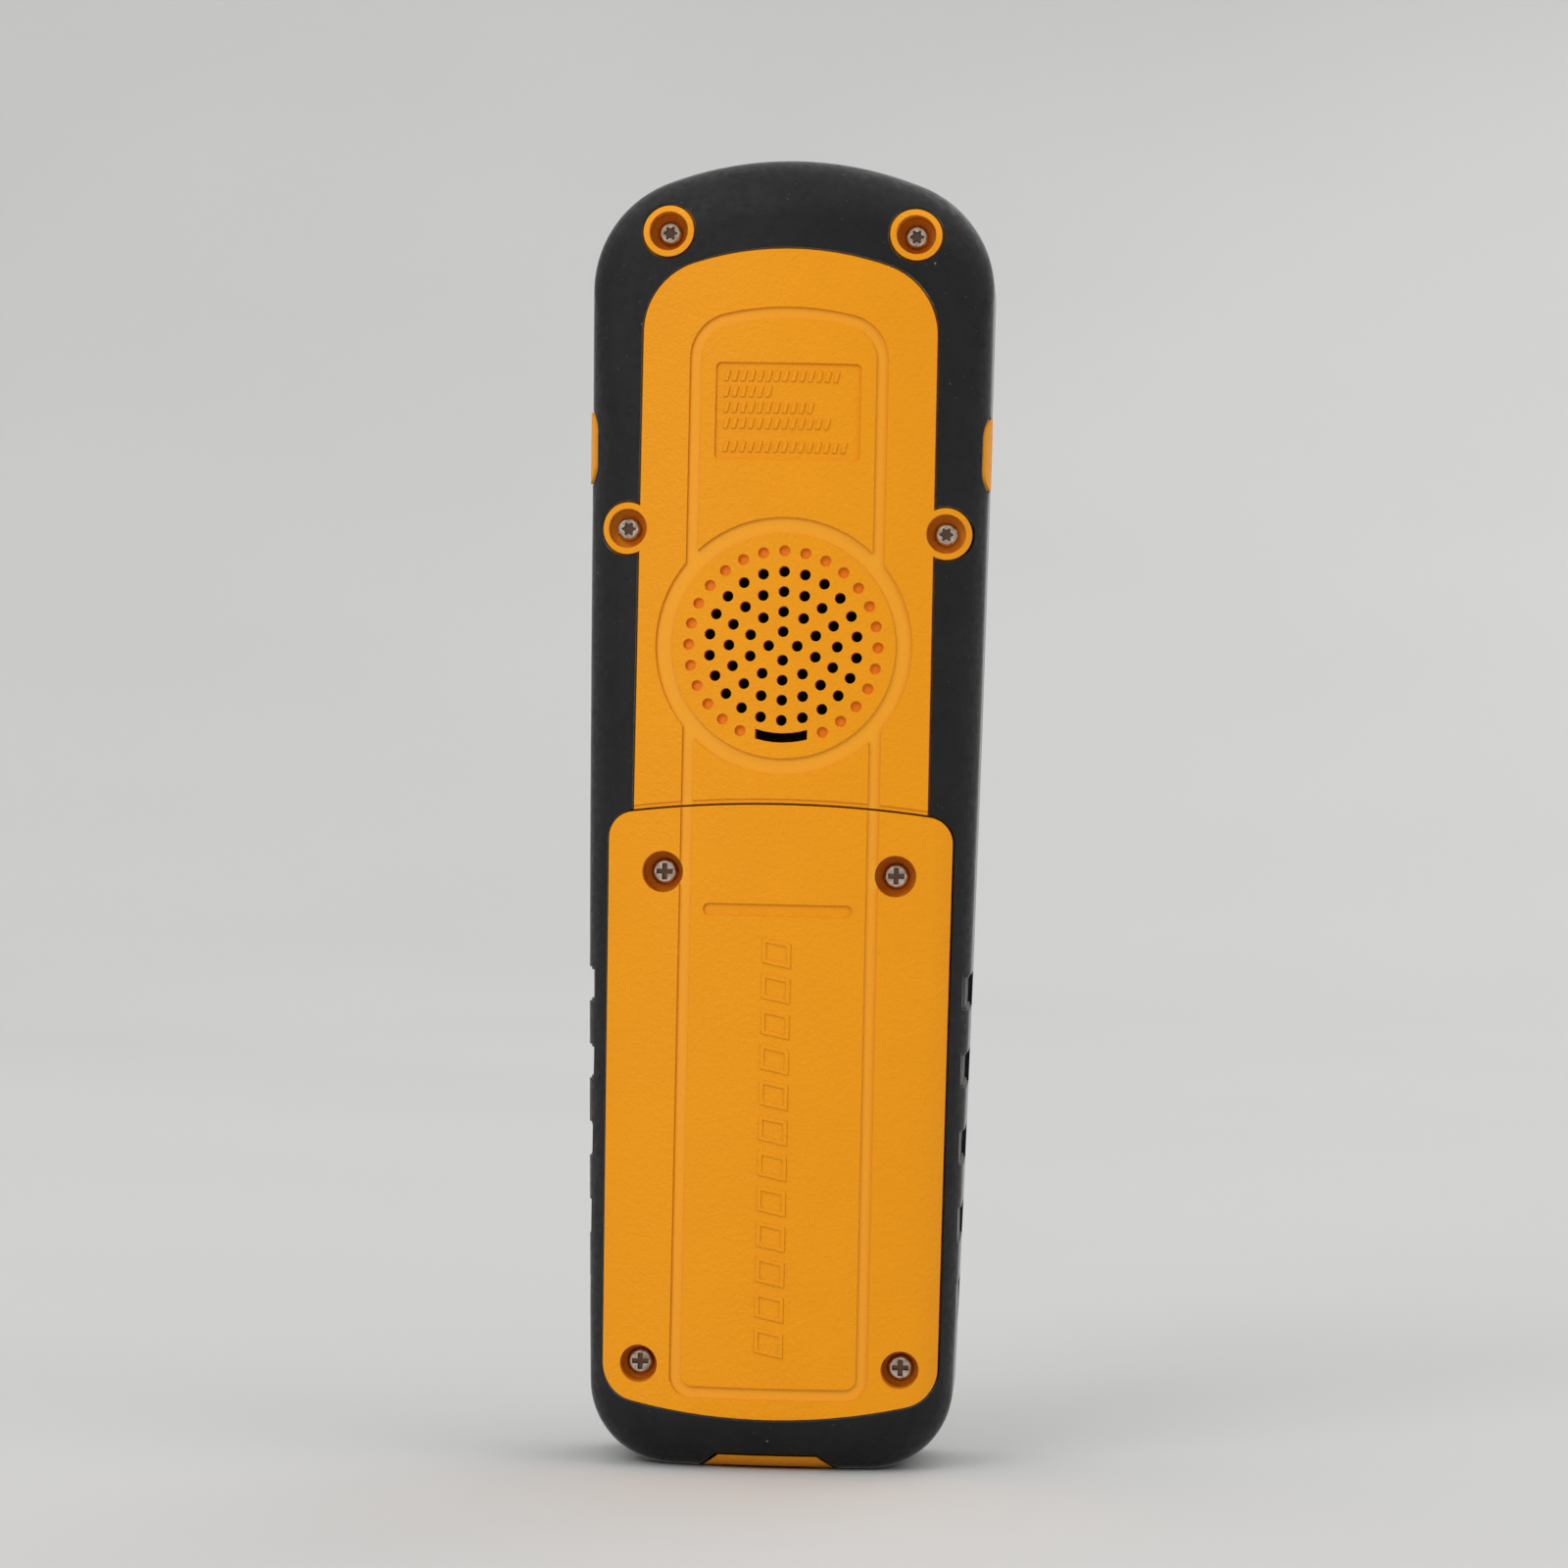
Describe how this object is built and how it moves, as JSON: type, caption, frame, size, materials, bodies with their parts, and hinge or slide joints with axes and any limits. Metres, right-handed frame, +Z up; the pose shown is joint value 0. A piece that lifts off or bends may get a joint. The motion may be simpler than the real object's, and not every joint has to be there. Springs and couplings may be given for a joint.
{
  "type": "handheld two-way radio handset",
  "caption": "Rugged sealed two-way radio handset with a rubber overmould, rear loudspeaker grille, keypad, display and a screwed battery cover.",
  "frame": {"origin": "middle of the foot, on the surface that the handset stands on", "axes": "+Z up the length, keypad and display face -Y, loudspeaker and battery cover face +Y, +X to the right when the keypad is faced"},
  "size_m": [0.0542, 0.0329, 0.175],
  "materials": {
    "yellow_case": "fine moulded grain",
    "black_rubber": "matt moulded rubber",
    "black_plastic": "satin black",
    "display_glass": "clear hard-coated acrylic",
    "lcd_glass": "grey liquid crystal display",
    "white_plastic": "moulded white nylon",
    "silicone": "moulded silicone",
    "seal_rubber": "moulded seal rubber",
    "foam": "closed-cell foam",
    "steel": "fine steel sheet",
    "tinned_steel": "tinned steel",
    "brass": "turned brass",
    "paper_cone": "coated film cone",
    "membrane": "breathable film",
    "nickel_steel": "bright nickel plate",
    "cell_steel": "nickelled can",
    "sleeve_plastic": "shrunk film",
    "red_lead": "lead insulation",
    "black_lead": "lead insulation",
    "board": "green solder mask",
    "key_plastic": "satin keys",
    "talk_plastic": "satin green key",
    "end_plastic": "satin red key"
  },
  "bodies": {
    "handset": {"rear_case": "yellow_case", "rear_bumper": "black_rubber", "front_case": "yellow_case", "front_bumper": "black_rubber", "face_plate": "black_plastic", "display_window": "display_glass", "lcd_module": "lcd_glass", "lcd_frame": "white_plastic", "keypad_mat": "silicone", "dome_sheet": "steel", "main_board": "board", "shield_can": "tinned_steel", "antenna": "brass", "speaker_frame": "tinned_steel", "speaker_cone": "paper_cone", "speaker_magnet": "tinned_steel", "speaker_gasket": "foam", "speaker_membrane": "membrane", "earpiece": "black_plastic", "earpiece_mesh": "steel", "microphone": "tinned_steel", "mic_boot": "silicone", "case_seal": "seal_rubber", "case_screws": "nickel_steel", "case_inserts": "brass", "cover_inserts": "brass", "battery_socket": "white_plastic", "charge_contacts": "nickel_steel", "side_switches": "black_plastic"},
    "battery_cover": {"battery_cover": "yellow_case", "cover_seal": "seal_rubber", "cover_foam": "foam", "cover_screws": "nickel_steel"},
    "battery_pack": {"battery_cells": "cell_steel", "battery_sleeve": "sleeve_plastic", "lead_red": "red_lead", "lead_black": "black_lead", "lead_plug": "white_plastic"},
    "key_star": {"key_star": "key_plastic"},
    "key_0": {"key_0": "key_plastic"},
    "key_hash": {"key_hash": "key_plastic"},
    "key_1": {"key_1": "key_plastic"},
    "key_2": {"key_2": "key_plastic"},
    "key_3": {"key_3": "key_plastic"},
    "key_4": {"key_4": "key_plastic"},
    "key_5": {"key_5": "key_plastic"},
    "key_6": {"key_6": "key_plastic"},
    "key_7": {"key_7": "key_plastic"},
    "key_8": {"key_8": "key_plastic"},
    "key_9": {"key_9": "key_plastic"},
    "key_menu": {"key_menu": "key_plastic"},
    "key_clear": {"key_clear": "key_plastic"},
    "key_talk": {"key_talk": "talk_plastic"},
    "key_end": {"key_end": "end_plastic"},
    "key_select": {"key_select": "key_plastic"},
    "side_key_right": {"side_key_right": "yellow_case"},
    "side_key_left": {"side_key_left": "yellow_case"},
    "nav_rocker": {"nav_rocker": "key_plastic"}
  },
  "joints": [
    {"name": "battery_cover_lift", "type": "slide", "parent": "handset", "child": "battery_cover", "axis": [0, 1, 0], "range_m": [0, 0.05]},
    {"name": "battery_pack_lift", "type": "slide", "parent": "handset", "child": "battery_pack", "axis": [0, 1, 0], "range_m": [0, 0.025]},
    {"name": "key_star_press", "type": "slide", "parent": "handset", "child": "key_star", "axis": [0, 1, 0], "range_m": [0, 0.0006], "stiffness_N_per_m": 1500, "springref_m": -0.0002},
    {"name": "key_0_press", "type": "slide", "parent": "handset", "child": "key_0", "axis": [0, 1, 0], "range_m": [0, 0.0006], "stiffness_N_per_m": 1500, "springref_m": -0.0002},
    {"name": "key_hash_press", "type": "slide", "parent": "handset", "child": "key_hash", "axis": [0, 1, 0], "range_m": [0, 0.0006], "stiffness_N_per_m": 1500, "springref_m": -0.0002},
    {"name": "key_1_press", "type": "slide", "parent": "handset", "child": "key_1", "axis": [0, 1, 0], "range_m": [0, 0.0006], "stiffness_N_per_m": 1500, "springref_m": -0.0002},
    {"name": "key_2_press", "type": "slide", "parent": "handset", "child": "key_2", "axis": [0, 1, 0], "range_m": [0, 0.0006], "stiffness_N_per_m": 1500, "springref_m": -0.0002},
    {"name": "key_3_press", "type": "slide", "parent": "handset", "child": "key_3", "axis": [0, 1, 0], "range_m": [0, 0.0006], "stiffness_N_per_m": 1500, "springref_m": -0.0002},
    {"name": "key_4_press", "type": "slide", "parent": "handset", "child": "key_4", "axis": [0, 1, 0], "range_m": [0, 0.0006], "stiffness_N_per_m": 1500, "springref_m": -0.0002},
    {"name": "key_5_press", "type": "slide", "parent": "handset", "child": "key_5", "axis": [0, 1, 0], "range_m": [0, 0.0006], "stiffness_N_per_m": 1500, "springref_m": -0.0002},
    {"name": "key_6_press", "type": "slide", "parent": "handset", "child": "key_6", "axis": [0, 1, 0], "range_m": [0, 0.0006], "stiffness_N_per_m": 1500, "springref_m": -0.0002},
    {"name": "key_7_press", "type": "slide", "parent": "handset", "child": "key_7", "axis": [0, 1, 0], "range_m": [0, 0.0006], "stiffness_N_per_m": 1500, "springref_m": -0.0002},
    {"name": "key_8_press", "type": "slide", "parent": "handset", "child": "key_8", "axis": [0, 1, 0], "range_m": [0, 0.0006], "stiffness_N_per_m": 1500, "springref_m": -0.0002},
    {"name": "key_9_press", "type": "slide", "parent": "handset", "child": "key_9", "axis": [0, 1, 0], "range_m": [0, 0.0006], "stiffness_N_per_m": 1500, "springref_m": -0.0002},
    {"name": "key_menu_press", "type": "slide", "parent": "handset", "child": "key_menu", "axis": [0, 1, 0], "range_m": [0, 0.0006], "stiffness_N_per_m": 1500, "springref_m": -0.0002},
    {"name": "key_clear_press", "type": "slide", "parent": "handset", "child": "key_clear", "axis": [0, 1, 0], "range_m": [0, 0.0006], "stiffness_N_per_m": 1500, "springref_m": -0.0002},
    {"name": "key_talk_press", "type": "slide", "parent": "handset", "child": "key_talk", "axis": [0, 1, 0], "range_m": [0, 0.0006], "stiffness_N_per_m": 1500, "springref_m": -0.0002},
    {"name": "key_end_press", "type": "slide", "parent": "handset", "child": "key_end", "axis": [0, 1, 0], "range_m": [0, 0.0006], "stiffness_N_per_m": 1500, "springref_m": -0.0002},
    {"name": "key_select_press", "type": "slide", "parent": "handset", "child": "key_select", "axis": [0, 1, 0], "range_m": [0, 0.0006], "stiffness_N_per_m": 1500, "springref_m": -0.0002},
    {"name": "side_key_right_press", "type": "slide", "parent": "handset", "child": "side_key_right", "axis": [-1, 0, 0], "range_m": [0, 0.0006], "stiffness_N_per_m": 1500, "springref_m": -0.0002},
    {"name": "side_key_left_press", "type": "slide", "parent": "handset", "child": "side_key_left", "axis": [1, 0, 0], "range_m": [0, 0.0006], "stiffness_N_per_m": 1500, "springref_m": -0.0002},
    {"name": "nav_rock", "type": "hinge", "parent": "handset", "child": "nav_rocker", "pos_m": [0, -0.0111, 0.0948], "axis": [1, 0, 0], "range_deg": [-2.5, 2.5], "stiffness_Nm_per_rad": 1.5}
  ],
  "couplings": [
    {"joint": "battery_pack_lift", "follows": "battery_cover_lift", "ratio": 0.5}
  ]
}
